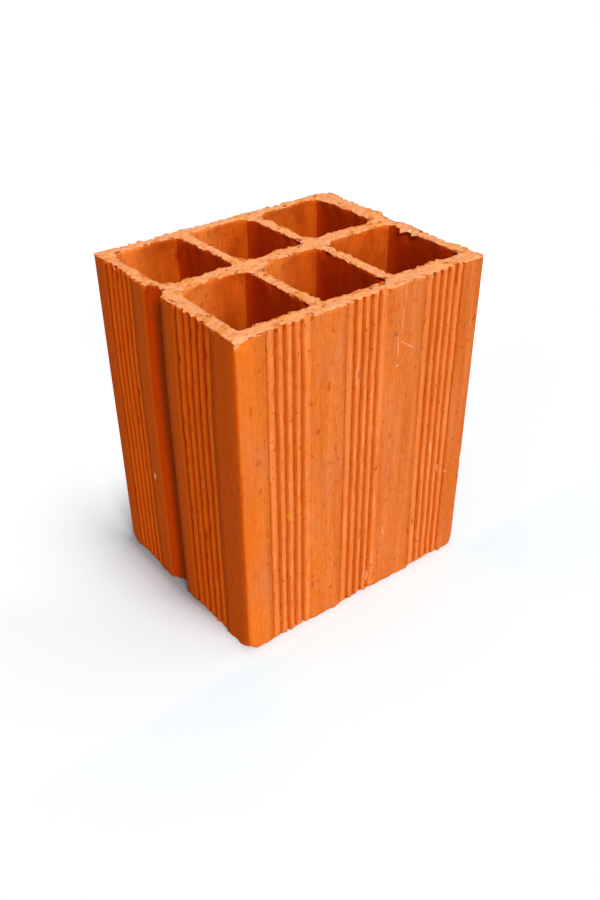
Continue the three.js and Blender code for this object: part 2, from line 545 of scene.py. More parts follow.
# %% [markdown]
# ## The wire's marks
# The wire drags through the soft clay, so the ends sag a little and are rough all over. They lose
# crumbs near the rims and are torn into hollows, some by chance and some at listed places, whose
# outlines noise frays.

# %% Rough ends with crumbs and hollows
ROUGH = 0.24
SAG = 0.3
CRUMB = 0.7

end = on_end.astype(float)
into_clay = np.outer(np.where(z > (top + bottom) / 2, -1.0, 1.0), (0, 0, 1))
to_end = np.minimum(top - z, z - bottom)
near_end = 1 - ramp(to_end, 0, 3 * MM)
push(into_clay, near_end * SAG * (1 + uneven(45, 9)))
push(into_clay, end * ROUGH * (0.9 + uneven(5, 10) + 0.9 * uneven(1.9, 11)))
near_rim = 1 - ramp(to_rim, 1.2 * MM, 3.6 * MM)
crumbs = ramp(uneven(3.6, 19) + 0.5 * uneven(14, 20) + 0.16 * near_rim, 0.44, 0.60)
hollows = ramp(uneven(3.0, 25) + 0.3 * uneven(12, 26) + 0.14 * near_rim, 0.42, 0.58)


def spots(places):
    """Soft spots on the upper end. A place: x, y, half width along x, half width along y."""
    cover = np.zeros(count)
    frayed = 0.4 * uneven(1.6, 27)
    for spot_x, spot_y, half_wide, half_deep in places:
        away = ((x / MM - spot_x) / half_wide) ** 2 + ((y / MM - spot_y) / half_deep) ** 2
        cover = np.maximum(cover, ramp(-away - frayed, -1.3, -0.5))
    return cover * (top - z < 4 * MM)


CRUMB_PLACES = (
    (-73.3, 18.5, 1.8, 2.4), (-73.3, 11.5, 1.4, 2.0), (-57.6, -2.6, 2.6, 1.6),
    (-41.9, -1.2, 2.0, 1.6), (-12.2, -3.4, 4.5, 3.0), (3.5, -1.6, 2.6, 1.8),
    (9.8, 58.7, 1.8, 3.2), (53.7, 58.2, 2.6, 3.6), (20.8, 45, 1.4, 2.6), (22.3, 31.3, 1.2, 3.0),
    (24.0, 13.4, 2.0, 2.4), (74.0, 20.7, 1.6, 3.0), (64.7, 2.4, 2.4, 1.6),
    (-23.9, -42.6, 2.0, 2.2), (-40.4, -55.8, 3.2, 1.6), (-34.0, -54.8, 1.6, 1.8),
    (-49.0, -60.5, 2.2, 1.2), (49.0, -53.4, 3.4, 1.4), (58.4, -62.4, 2.0, 1.4),
    (-2.0, -57.0, 2.8, 1.6), (-74.0, -34.0, 1.4, 2.6), (-73.0, -50.0, 1.8, 2.2),
)
HOLLOW_PLACES = (
    (47.4, 56.8, 1.6, 1.6), (17.0, 13.4, 1.6, 2.6), (-24.7, -14, 1.0, 1.8),
    (69.8, -45.7, 1.6, 1.0), (-66.0, 58.6, 2.0, 1.0), (-50.0, 58.0, 1.4, 1.2),
    (-26.4, -54.0, 1.2, 1.6), (19.6, -52.0, 1.4, 2.2), (71.4, -50.4, 1.4, 2.0),
)
crumbs = np.maximum(crumbs, spots(CRUMB_PLACES))
hollows = np.maximum(hollows * (1 - crumbs), spots(HOLLOW_PLACES))
push(into_clay, end * CRUMB * (1.3 * hollows - crumbs))
print("crumbs and hollows placed:", len(CRUMB_PLACES), "and", len(HOLLOW_PLACES))

# %% [markdown]
# The rims are rubbed round and crumble, and where the wire leaves a web it pulls small burrs over
# the opening. A bevel would round the rims evenly, so noise pushes their corners instead.

# %% Worn rims
ROUND = 0.6
CRUMBLE = 0.95
BURR = 1.5
rounding = ROUND * (0.6 + 1.0 * ramp(uneven(7, 12), -0.3, 0.6))
push(-normals, rounding * (1 - ramp(to_rim, 0, 1.6 * MM)))
crumbling = CRUMBLE * (uneven(3.6, 13) + 0.5 * uneven(1.6, 14))
push(-wall_normals, on_wall * crumbling * (1 - ramp(to_rim, 0, 2.2 * MM)))

exit_side = np.clip(wall_normals[:, 1], 0, 1) * cell
ragged = exit_side * ramp(uneven(4.6, 15) + 0.5 * uneven(11, 16), 0.0, 0.6)
push(wall_normals, BURR * ragged * (1 - ramp(to_rim, 0.2 * MM, 1.5 * MM)))
print("corners pulled into burrs:", int((ragged * (to_rim < 1.5 * MM) > 0.2).sum()))

# %% [markdown]
# ## Knocks and tears
# A few marks are single events: corners rubbed off on the pallet, chips out of the upper rim,
# curls that the wire tore out of the cell walls. Each is a dent with a place, a reach and a move
# in mm, much as a grab brush would make it.

# %% Dents
def dent(place, reach, move):
    """Move the corners around a place by up to a move, fading out over a reach each way."""
    away = (start_places / MM - np.array(place)) / np.array(reach)
    push(move, np.exp(-2 * (away ** 2).sum(axis=1)))


half_x, half_y, tall = np.array(high) / MM
BASE_WEAR = (
    ((-half_x, -half_y, 0), (8, 8, 7), (0.8, 0.8, 2.4)),
    ((half_x, -half_y, 0), (4, 4, 6), (-0.9, 0.7, 0)),
    ((-half_x, half_y, 0), (6, 6, 5), (1.4, -1.4, 1.0)),
    ((half_x, half_y, 0), (6, 6, 5), (-1.2, -1.2, 1.0)),
    ((2, -half_y, 0), (3, 3, 3), (0, 1.0, 0.6)),
)
RIM_CHIPS = (
    ((-half_x + 5, -half_y, tall), (5, 3, 5), (0, 1.7, -2.2)),
    ((-half_x, -half_y, tall), (3, 3, 3), (0.5, 0.5, -0.7)),
    ((62.5, -half_y, tall), (1.8, 2.2, 1.8), (0, 1.3, -1.6)),
    ((21.4, -half_y, tall), (1.8, 2.2, 1.8), (0, 1.2, -1.5)),
    ((-22, -half_y, tall), (3, 2, 1.8), (0, 0.9, -1.0)),
    ((-half_x, 14, tall), (2, 3, 2), (1.6, 0, -1.4)),
    ((-half_x, -18, tall), (2, 2.5, 2), (1.2, 0, -1.2)),
)
TORN_CURLS = (
    ((70.6, -14.3, tall - 3.8), (3.5, 4.6, 2.8), (4.6, 0, 0)),
    ((70.6, -11.0, tall - 1), (2.6, 2.6, 2.4), (-3.0, 0, -1.0)),
    ((70.6, -18.2, tall - 1), (2.4, 2.2, 2.2), (-2.2, 0, -1.4)),
    ((70.6, -14.6, tall), (2.4, 1.8, 1.6), (1.8, 0, -1.2)),
    ((18.2, -8.0, tall - 2), (2.4, 3.0, 2.4), (2.6, 0, -0.6)),
    ((18.6, -51.0, tall - 2.8), (2.6, 3.0, 2.0), (2.4, 0, 0)),
    ((17.8, -48.6, tall), (2.0, 1.6, 1.4), (-1.6, 0, -0.4)),
    ((-27.8, -51.0, tall - 2.8), (2.6, 3.0, 2.0), (2.0, 0, 0)),
    ((70.6, -49.0, tall - 2.6), (2.6, 3.4, 2.0), (2.2, 0, 0)),
    ((15.0, 14.0, tall - 2.4), (2.4, 3.4, 2.2), (3.0, 0, 0)),
    ((-31.0, 55.0, tall - 10), (2.5, 2.5, 3.0), (0, 3.0, 0)),
)
for place, reach, move in BASE_WEAR + RIM_CHIPS + TORN_CURLS:
    dent(place, reach, move)
print("dents:", len(BASE_WEAR + RIM_CHIPS + TORN_CURLS))

# %% [markdown]
# The pale, torn clay doesn't stop at the rim in a clean line. A weight from 0 to 1 says how torn
# each corner is: fully on the ends, fading down the walls within a millimetre or so, and further
# where a flake is off above the worn edge.

# %% How torn the clay is
TORN_REACH = 0.9
torn_reach = TORN_REACH * (0.4 + 1.2 * ramp(uneven(3, 17) + 0.5 * uneven(1.2, 18), -0.2, 0.8)) * MM
torn = np.where(on_end, 1.0, 1 - ramp(to_rim, 0.25 * torn_reach, torn_reach))
torn = np.where(to_rim > 6 * MM, end, torn)
from_corner = np.abs(x - low.x) / MM + (top - z) / MM * 1.1 + 1.2 * uneven(2.5, 28)
torn = np.maximum(torn, faces_front * (1 - ramp(from_corner, 5.0, 6.5)))
print("corners at least half torn:", int((torn > 0.5).sum()))

# %% [markdown]
# Other weights tell the material where to lay tones, and most of them carry painted light and
# shade: painted shade on walls that face left, painted light on the left part of the cells' back
# walls, painted shade that grows with the depth of the cells, painted shade towards the right of
# the front and the back of the left face, painted red bounce light and shade in the keyway, and
# painted shade that tones down the highlight on the rubbed edge. They could be painted, but not
# so exactly.

# %% Weights for the material
# Painted shade: walls that face left, away from the lamps, turn darker and redder.
left_facing_shade = ramp(-wall_normals[:, 0], 0.3, 0.8)
# Painted light: the cells' back walls turn brighter towards their left end.
glow = np.zeros(count)
for cell_left, cell_right, cell_front, cell_back, *radii in CELLS:
    part = (x / MM - cell_left) / (cell_right - cell_left)
    on_back_wall = (np.abs(part - 0.5) < 0.6) & (np.abs(y / MM - cell_back) < radii[2])
    glow = np.maximum(glow, on_back_wall * cell * ramp(1 - part, 0.2, 0.95))
glow = glow * (1 - 0.6 * ramp(x, 18 * MM, 22 * MM))
# Painted shade: the cell walls darken with depth below the ends.
deep = cell * ramp(to_end, 2 * MM, 60 * MM)
# Painted shade: the skin darkens towards the right in front and towards the back on the left.
falloff_shade = np.where(wall_normals[:, 0] < -0.5, ramp(y, 30 * MM, 64 * MM), ramp(x, -70 * MM, 78 * MM))
# Depth in the left keyway, which carries painted red bounce light near the mouth and painted shade
# deeper in.
keyway_depth = faces_left * (np.abs(y) < KEYWAY_REACH) * under_face / MM
keyway_depth = keyway_depth * (0.6 + 0.4 * ramp(top - z, 3 * MM, 14 * MM))
# Painted shade: a band along the rubbed front left edge that tones down the highlight its rounding
# catches.
edge = faces_front * (1 - ramp(x - low.x, 3 * MM, 19 * MM))
weights = {
    "torn": torn, "groove": in_groove, "comb": in_comb, "left_facing_shade": left_facing_shade,
    "crest": on_crest, "keyway_depth": keyway_depth, "cell": cell, "deep": deep,
    "glow": glow, "falloff_shade": skin * falloff_shade, "edge": edge, "crumbs": crumbs, "hollows": hollows,
}
print("weights:", ", ".join(weights))

# %% [markdown]
# All the moves were summed up in an array. Now they go into the mesh, cut off at the block's own
# box, and the weights become attributes. Edges sharper than an angle stay crisp.

# %% Write the moved corners back
SHARP = math.radians(34)
moved = np.clip(moved, np.array(cad_box[0]), np.array(cad_box[1]))
skin_mesh.vertices.foreach_set("co", moved.ravel())
for name, values in weights.items():
    layer = skin_mesh.attributes.new(name, "FLOAT", "POINT")
    layer.data.foreach_set("value", values.astype(np.float32))
skin_mesh.update()
bpy.ops.object.select_all(action="DESELECT")
block.select_set(True)
bpy.context.view_layer.objects.active = block
bpy.ops.object.shade_smooth_by_angle(angle=SHARP)
print("largest move, mm:", round(float(np.abs(moved - start_places).max()) / MM, 2))

# %% [markdown]
# ## Fired clay
# Iron in the clay burns to orange. The die's skin is dense and dull, with drag lines, dark pits
# where grog or plant matter burnt out, and a deeper tone in the combs. The torn ends are paler
# and grainier. Clay scatters light evenly and hardly shines, so roughness is high. One helper
# adds every node, with its settings and links.

# %% Node helpers
def linear(hex_colour):
    """Turn an sRGB hex colour into the linear values that nodes take."""
    channels = [int(hex_colour[start:start + 2], 16) / 255 for start in (1, 3, 5)]
    lit = [c / 12.92 if c <= 0.04045 else ((c + 0.055) / 1.055) ** 2.4 for c in channels]
    return (*lit, 1.0)


def add_node(tree, kind, settings, output=0):
    """Add a node and give its first output, or the one that is named. A setting is a property or
    an input's value, and where that is another node's output, the two are linked."""
    node = tree.nodes.new("ShaderNode" + kind)
    for name, value in settings.items():
        if isinstance(value, bpy.types.NodeSocket):
            tree.links.new(value, node.inputs[name])
        elif isinstance(name, int) or name in node.inputs:
            node.inputs[name].default_value = value
        else:
            setattr(node, name, value)
    return node.outputs[output] if node.outputs else None


# %% [markdown]
# Every pattern is noise of a real size, drawn out along Z where the die dragged the clay. Real
# grit is a few tenths of a millimetre, too fine to show, so the finest patterns are drawn at
# 0.7 mm. The weights come in beside them as attributes.

# %% The clay's patterns, at their real sizes
clay = bpy.data.materials.new("fired_clay_extruded_and_wire_cut")
clay.use_nodes = True
tree = clay.node_tree
tree.nodes.clear()
place = add_node(tree, "TexCoord", {}, "Object")

# name: size across in mm, how far it is drawn out along Z, detail, roughness
NOISES = {
    "hairlines": (0.7, 9, 3.0, 0.6),
    "strokes": (1.4, 40, 2.0, 0.5),
    "streaks": (5.0, 14, 2.0, 0.5),
    "blotches": (20.0, 1.6, 3.0, 0.5),
    "patches": (8.0, 1, 2.0, 0.6),
    "mottle": (3.0, 1.4, 3.0, 0.6),
    "grain": (0.7, 1, 2.0, 0.6),
    "dashes": (1.6, 2.2, 1.0, 0.5),
    "pits": (1.3, 1, 1.0, 0.5),
    "scuffs_and_crest_highlights": (1.1, 12, 1.0, 0.5),
    "scars": (3.0, 2.4, 1.0, 0.5),
    "ochre": (3.6, 3.0, 0.0, 0.5),
    "ash": (3.0, 2.6, 0.0, 0.5),
}
patterns = {}
for name, (size, drawn_out, detail, roughness) in NOISES.items():
    seat = add_node(tree, "Mapping", {"Scale": (1, 1, 1 / drawn_out), "Vector": place})
    patterns[name] = add_node(
        tree, "TexNoise",
        {"Scale": 1 / (size * MM), "Detail": detail, "Roughness": roughness, "Vector": seat})
for name in weights:
    patterns[name] = add_node(tree, "Attribute", {"attribute_name": name}, "Fac")
print("patterns:", ", ".join(patterns))

# %% [markdown]
# Lumps of burnt grog, ash flecks, ochre spots, scrapes and grains of lime are single marks. Noise
# would put them anywhere, so each is a small ellipse at its own place, with a frayed outline.

# %% Single marks
# kind, side: place along the side, place up it, half width, half height, maybe lean in degrees.
# Along and up are X and Z in front, Y and Z on the left, X and Y on the upper end.
MARKS = {
    "grog marks": {
        "front": (
            (-56.6, 126, 1.3, 1.4), (-60.2, 160, 0.8, 1.2), (-8.6, 160, 1.1, 1.4),
            (3.1, 160, 1.3, 1.0), (-1.3, 172, 1.0, 1.0), (-34.9, 143, 1.0, 1.2),
            (-36.3, 172, 1.2, 0.8, 30), (-67.4, 123, 1.6, 2.2, 20), (-66.3, 106, 1.2, 1.2),
            (-50.4, 41, 0.8, 3.4, 5), (10.3, 86, 1.2, 2.4, 10), (69.2, 99, 1.0, 1.8),
            (72.6, 144, 0.6, 1.4), (-24.2, 150, 0.9, 3.2),
        ),
        "left": (
            (10.5, 168, 0.9, 3.0), (-13.2, 149, 1.4, 2.6), (-41, 67, 1.0, 2.2),
            (12.8, 78, 0.9, 2.0, 20),
        ),
    },
    "ash marks": {
        "front": (
            (18.1, 164, 1.3, 1.8, -30), (-4.7, 149, 0.8, 2.6), (-56.3, 141, 0.6, 1.2),
            (-33.6, 27, 0.7, 3.0), (-46.3, 56, 0.6, 1.4), (41.4, 35, 0.9, 2.6),
            (50.9, 123, 0.7, 1.8), (-26.6, 79, 0.5, 3.0),
        ),
        "left": ((-56, 82, 0.8, 2.4, 10),),
    },
    "ochre marks": {
        "front": (
            (-48.8, 82, 1.2, 3.0), (-55.8, 12, 1.3, 3.0), (23.1, 22, 1.0, 4.6),
            (29.8, 59, 1.0, 2.2), (-62.2, 149, 1.3, 3.0), (-35.8, 121, 0.7, 3.0),
        ),
    },
    "scrape marks": {
        "front": (
            (23.6, 184, 0.35, 5.0, 1), (20.2, 156, 0.35, 6.5, -2), (20.4, 145.6, 0.9, 0.9),
            (27.0, 155.4, 0.3, 7.2, -57), (22.4, 171, 0.25, 9.0, 4), (7.6, 10, 0.7, 4.4, 2),
            (50.8, 83, 0.5, 5.0), (4.2, 135, 0.3, 3.0, 20), (64.8, 61, 0.6, 0.7),
            (17.4, 40, 0.35, 4.0, -12), (-6.3, 148, 0.35, 6.0), (59.4, 65, 0.4, 3.0),
        ),
        "left": ((24, 71, 1.4, 2.6, 10),),
    },
    "lime marks": {
        "top": (
            (72.2, -13.8, 1.5, 1.1, 20), (70.9, -17.0, 0.7, 0.9), (12.0, 57.4, 0.9, 0.5),
        ),
    },
}
FRAY = 1.1
FRAY_SIZE = 1.6
# side: the axes along it, up it and into it, its place on that, how deep a mark reaches
SIDES = {
    "front": (X, Z, Y, low.y / MM, 7),
    "left": (Y, Z, X, low.x / MM, 7),
    "top": (X, Y, Z, high.z / MM, 3),
}
fraying = add_node(
    tree, "TexNoise", {"Scale": 1 / (FRAY_SIZE * MM), "Detail": 2.0, "Vector": place}, "Color")
frayed_place = add_node(
    tree, "VectorMath",
    {"operation": "MULTIPLY_ADD", 0: fraying, 1: (FRAY * MM, 0, FRAY * MM),
     2: (-FRAY * MM / 2, 0, -FRAY * MM / 2)})
frayed_place = add_node(tree, "VectorMath", {"operation": "ADD", 0: place, 1: frayed_place})
for kind, sides in MARKS.items():
    cover = 0.0
    placed = [(side, *mark) for side, marks in sides.items() for mark in marks]
    for side, along, up, half_width, half_height, *lean in placed:
        along_axis, up_axis, inwards, face_place, depth = SIDES[side]
        middle, reach, turn = Vector(), Vector(), Vector()
        middle[along_axis], middle[up_axis], middle[inwards] = along, up, face_place
        reach[along_axis], reach[up_axis], reach[inwards] = half_width, half_height, depth
        turn[inwards] = math.radians(sum(lean))
        seat = add_node(
            tree, "Mapping",
            {"vector_type": "TEXTURE", "Location": middle * MM, "Rotation": turn,
             "Scale": reach * MM, "Vector": frayed_place})
        away = add_node(tree, "VectorMath", {"operation": "LENGTH", 0: seat}, "Value")
        spot = add_node(
            tree, "MapRange",
            {"interpolation_type": "SMOOTHSTEP", "From Min": 1.15, "From Max": 0.6, "Value": away})
        cover = add_node(tree, "Math", {"operation": "MAXIMUM", 0: spot, 1: cover})
    patterns[kind] = cover
    print(kind + ":", len(placed))

# %% [markdown]
# A surface is painted in coats, a base tone first and thin tones over it. Each coat lies where
# its pattern climbs from one level to another, and another pattern may hold it back. Noise lies
# near 0.5 most of the time, so a coat that starts at 0.7 shows only as rare specks, and one that
# runs down from 0.5 takes the other half of the noise.

# %% A helper that lays coats of colour
def paint(base, coats):
    """Lay coats over a base. A coat: pattern, start, end, strength, tone, and maybe where."""
    colour = linear(base)
    for pattern, start, end, strength, tone, *where in coats:
        cover = add_node(
            tree, "MapRange",
            {"interpolation_type": "SMOOTHSTEP", "From Min": start, "From Max": end,
             "To Max": strength, "Value": patterns[pattern]})
        for other in where:
            cover = add_node(tree, "Math", {"operation": "MULTIPLY", 0: cover, 1: patterns[other]})
        colour = add_node(
            tree, "Mix", {"data_type": "RGBA", 0: cover, 6: colour, 7: linear(tone)}, 2)
    print("coats over", base + ":", len(coats))
    return colour


# %% [markdown]
# The skin is the richest of the three: soft blotches and drag streaks, fine grain, pale crests
# of painted highlight and some wear, grooves deepened with painted shade, painted shade towards
# the right of the front and the back of the left face, a redder left face of painted shade with
# painted red bounce light and shade in its keyway, a band of painted shade on the rubbed edge,
# then pits, scars and the marks.

# %% Colour of the die's skin
skin_colour = paint("#E6792A", (
    ("blotches", 0.42, 0.62, 0.9, "#DC7840"),
    # Painted shade towards the right of the front and the back of the left face.
    ("falloff_shade", 0.05, 0.5, 0.45, "#DE763A"),
    ("falloff_shade", 0.5, 1.0, 0.5, "#D06A2A"),
    ("comb", 0.0, 1.0, 0.6, "#E8721A"),
    ("streaks", 0.50, 0.68, 0.40, "#EA8A4A"),
    ("streaks", 0.50, 0.34, 0.40, "#CE601C"),
    ("strokes", 0.50, 0.36, 0.20, "#C25A18"),
    ("hairlines", 0.50, 0.32, 0.34, "#CA580C"),
    ("hairlines", 0.56, 0.74, 0.40, "#F09A60"),
    ("mottle", 0.56, 0.72, 0.48, "#CC560A"),
    ("mottle", 0.42, 0.30, 0.35, "#EC8A50"),
    ("grain", 0.56, 0.78, 0.50, "#C85208"),
    # Painted highlight, with some wear, on the rib crests.
    ("crest", 0.0, 1.0, 0.30, "#FF9C5C"),
    # Painted shade in the grooves.
    ("groove", 0.10, 0.90, 0.88, "#C65000"),
    # Painted highlight in glints along the crests; the next coat is real scuffs.
    ("scuffs_and_crest_highlights", 0.54, 0.72, 0.50, "#FA9E5C", "crest"),
    ("scuffs_and_crest_highlights", 0.73, 0.80, 0.40, "#F4A874"),
    # Painted shade on walls that face left, with painted highlight on their crests and painted
    # shade in their grooves.
    ("left_facing_shade", 0.0, 1.0, 0.94, "#BC4A04"),
    ("comb", 0.0, 1.0, 0.7, "#C64200", "left_facing_shade"),
    ("crest", 0.0, 1.0, 0.6, "#E06A10", "left_facing_shade"),
    ("mottle", 0.56, 0.72, 0.35, "#9A3606", "left_facing_shade"),
    ("hairlines", 0.50, 0.30, 0.30, "#983404", "left_facing_shade"),
    ("groove", 0.0, 1.0, 0.8, "#902000", "left_facing_shade"),
    # Painted red bounce light near the keyway's mouth and painted shade deeper in.
    ("keyway_depth", 0.2, 2.0, 0.47, "#CC4202"),
    ("keyway_depth", 2.0, 4.3, 0.85, "#782E06"),
    # Dark dashes of painted shade in the grooves.
    ("dashes", 0.58, 0.70, 0.6, "#963800", "groove"),
    ("dashes", 0.69, 0.75, 0.6, "#B84200"),
    ("scars", 0.71, 0.75, 0.65, "#B63E00"),
    ("ash", 0.87, 0.91, 0.5, "#74485A"),
    ("ochre", 0.87, 0.92, 0.55, "#DE9A14"),
    ("grog marks", 0.0, 1.0, 0.5, "#AE3C00"),
    ("ash marks", 0.0, 1.0, 0.5, "#7A4A50"),
    # Painted shade that tones down the highlight on the rounded front left edge.
    ("edge", 0.0, 1.0, 0.38, "#EE700E"),
    ("ochre marks", 0.0, 1.0, 0.45, "#E4921C"),
    ("scrape marks", 0.0, 1.0, 0.55, "#FFBC90"),
))

# %% [markdown]
# The cell walls are plainer and of a deeper tone than the skin. Painted shade makes them
# brown-orange far down and redder where they face left, and painted light brightens the back
# walls.

# %% Colour of the cell walls
cell_colour = paint("#DC5E10", (
    # Painted shade deeper in the cells.
    ("deep", 0.0, 1.0, 0.9, "#B44408"),
    ("blotches", 0.44, 0.60, 0.65, "#B04206"),
    # Painted light on the left part of the back walls.
    ("glow", 0.0, 1.0, 0.95, "#FF8C38"),
    ("streaks", 0.50, 0.70, 0.35, "#DC7028"),
    ("hairlines", 0.48, 0.30, 0.25, "#A03C08"),
    ("mottle", 0.56, 0.72, 0.5, "#A8440E"),
    # Painted shade on cell walls that face left.
    ("left_facing_shade", 0.6, 1.0, 0.85, "#A62800"),
    ("scuffs_and_crest_highlights", 0.75, 0.80, 0.4, "#E08848"),
    ("dashes", 0.71, 0.77, 0.7, "#6A2408"),
))

# %% [markdown]
# Torn clay is pale and chalky: peach and straw patches, lighter and darker grains, hollows
# darkened with painted shade and a little lime. Two mixes join the three surfaces, first the walls
# by the cell weight, then everything by how torn it is.

# %% Colour of the torn ends, and the three joined
torn_colour = paint("#F9A064", (
    ("patches", 0.48, 0.60, 0.4, "#F7A37A"),
    ("patches", 0.48, 0.38, 0.4, "#FFB876"),
    ("mottle", 0.44, 0.62, 0.5, "#FFB682"),
    ("scars", 0.58, 0.70, 0.7, "#E4863C"),
    ("grain", 0.58, 0.76, 0.3, "#DC8448"),
    ("crumbs", 0.1, 0.8, 0.7, "#F0913C"),
    ("mottle", 0.50, 0.60, 0.7, "#BC5C20", "crumbs"),
    # Painted shade in the torn hollows.
    ("hollows", 0.2, 0.9, 0.85, "#A8481A"),
    ("pits", 0.69, 0.75, 0.45, "#A8521E"),
    ("pits", 0.31, 0.25, 0.6, "#FFD6A8"),
    ("dashes", 0.78, 0.82, 0.6, "#6A3424"),
    ("lime marks", 0.0, 1.0, 0.85, "#EED8C2"),
))
walls = add_node(
    tree, "Mix", {"data_type": "RGBA", 0: patterns["cell"], 6: skin_colour, 7: cell_colour}, 2)
surface = add_node(
    tree, "Mix", {"data_type": "RGBA", 0: patterns["torn"], 6: walls, 7: torn_colour}, 2)

# %% [markdown]
# The same patterns raise and sink the surface, so that colour and relief agree. The mesh has the
# relief down to about a millimetre, and the bump adds only what is finer. Unglazed brick has an
# IOR near 1.5, but its pores let almost no highlight through.

# %% Relief and shader
def pile_up(parts):
    """Add up patterns, each times its share of the relief."""
    level = 0.0
    for pattern, share in parts:
        level = add_node(
            tree, "Math", {"operation": "MULTIPLY_ADD", 0: patterns[pattern], 1: share, 2: level})
    return level


RELIEF_HEIGHT = 0.6 * MM
skin_relief = pile_up(
    (("hairlines", 0.5), ("strokes", 0.3), ("grain", 0.4), ("mottle", 0.6), ("dashes", -0.2)))
torn_relief = pile_up((("mottle", 0.8), ("grain", 0.5), ("pits", -0.8)))
relief = add_node(
    tree, "Mix", {"data_type": "FLOAT", 0: patterns["torn"], 2: skin_relief, 3: torn_relief}, 0)
bump = add_node(tree, "Bump", {"Strength": 0.8, "Distance": RELIEF_HEIGHT, "Height": relief})
shader = add_node(
    tree, "BsdfPrincipled",
    {"Roughness": 0.92, "IOR": 1.5, "Specular IOR Level": 0.03, "Base Color": surface,
     "Normal": bump})
add_node(tree, "OutputMaterial", {"Surface": shader})
block.data.materials.append(clay)
print("nodes in the clay:", len(tree.nodes))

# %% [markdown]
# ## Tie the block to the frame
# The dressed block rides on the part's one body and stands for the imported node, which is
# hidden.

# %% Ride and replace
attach(block, "root")
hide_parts(NODE)
print("piece:", block.name, "with", len(block.data.polygons), "triangles")

# %% [markdown]
# ## Floor
# The block stands on white paper that fills the view. Lamps that made the paper plain white would
# also light the clay, so its own material does it: what the camera sees of it is lifted by a
# little glow, and the glow fades where the block's soft shade lies.

# %% Paper
FLOOR_SIDE = 6.0
bpy.ops.object.select_all(action="DESELECT")
bpy.ops.mesh.primitive_plane_add(size=FLOOR_SIDE, location=(0, 0, low.z))
floor = bpy.context.active_object
floor.name = "floor"
floor.data.transform(Matrix.Translation(floor.location))
floor.location = (0, 0, 0)
paper = bpy.data.materials.new("white_paper_floor")
paper.use_nodes = True
tree = paper.node_tree
tree.nodes.clear()
place = add_node(tree, "TexCoord", {}, "Object")
print("paper, m:", FLOOR_SIDE)

# %% [markdown]
# First comes how far each place of the paper lies from the block's foot. Each effect fades by its
# own lengths: the line of contact within a few millimetres, the soft shade within some
# centimetres, and the clay's red reflection within a hand's width.

# %% How near the block
# name: how far from the block it fades, in mm along X and along Y
FADES = {"contact": (2.5, 2.5), "shade": (17, 28), "reddening": (60, 60)}
beside = place
for step in (
    {"operation": "ABSOLUTE"},
    {"operation": "SUBTRACT", 1: (high.x, high.y, 1)},
    {"operation": "MAXIMUM", 1: (0, 0, 0)},
):
    beside = add_node(tree, "VectorMath", {**step, 0: beside})
from_block = add_node(tree, "VectorMath", {"operation": "LENGTH", 0: beside}, "Value")
near = {}
for name, (fade_x, fade_y) in FADES.items():
    share = add_node(
        tree, "VectorMath", {"operation": "DIVIDE", 0: beside, 1: (fade_x * MM, fade_y * MM, 1)})
    share = add_node(tree, "VectorMath", {"operation": "LENGTH", 0: share}, "Value")
    near[name] = add_node(tree, "Math", {"operation": "POWER", 0: 1 / math.e, 1: share})
print("fading from the block:", ", ".join(near))

# %% [markdown]
# The soft shade lies on the left and behind, so the lift is lowered there.

# %% Soft shade
LIFT = 0.335
LIFT_BESIDE_SHADE = 0.07
SHADE = 0.56
across = add_node(tree, "SeparateXYZ", {"Vector": place}).node.outputs
behind = add_node(tree, "Math", {"operation": "SUBTRACT", 0: across["Y"], 1: from_block})
in_shade = add_node(tree, "MapRange", {"From Min": -50 * MM, "From Max": -5 * MM, "Value": behind})
on_left = add_node(
    tree, "MapRange", {"From Min": 60 * MM, "From Max": -20 * MM, "Value": across["X"]})
in_shade = add_node(tree, "Math", {"operation": "MULTIPLY", 0: in_shade, 1: on_left})
change = add_node(
    tree, "Math", {"operation": "MULTIPLY_ADD", 0: near["shade"], 1: -SHADE, 2: LIFT_BESIDE_SHADE})
lift = add_node(tree, "Math", {"operation": "MULTIPLY_ADD", 0: in_shade, 1: change, 2: LIFT})
print("lift in the open and in the shade:", LIFT, round(LIFT + LIFT_BESIDE_SHADE - SHADE, 3))

# %% [markdown]
# A thin dark line shows where the block meets the paper. In front, the lit clay throws red light
# on it. The lift is smaller in both places, and cooler in front, which evens the red out.

# %% Contact and red reflection
CONTACT = 0.10
REDDENING = 0.05
in_front = add_node(
    tree, "MapRange",
    {"From Min": low.y, "From Max": low.y - 12 * MM, "To Min": 0.25, "To Max": 1.0,
     "Value": across["Y"]})
reddened = add_node(tree, "Math", {"operation": "MULTIPLY", 0: in_front, 1: near["reddening"]})
for where, amount in ((near["contact"], -CONTACT), (reddened, -REDDENING)):
    lift = add_node(tree, "Math", {"operation": "MULTIPLY_ADD", 0: where, 1: amount, 2: lift})
lift_colour = add_node(
    tree, "Mix", {"data_type": "RGBA", 0: reddened, 6: linear("#FFFFFF"), 7: linear("#C8FFFF")}, 2)
print("lift taken off at the foot:", round(CONTACT + REDDENING, 2))

# %% [markdown]
# The shade behind the block is a wedge with a straight edge on its right. Past that edge the
# paper is white again, so the lift comes back over a middle stretch of the depth.

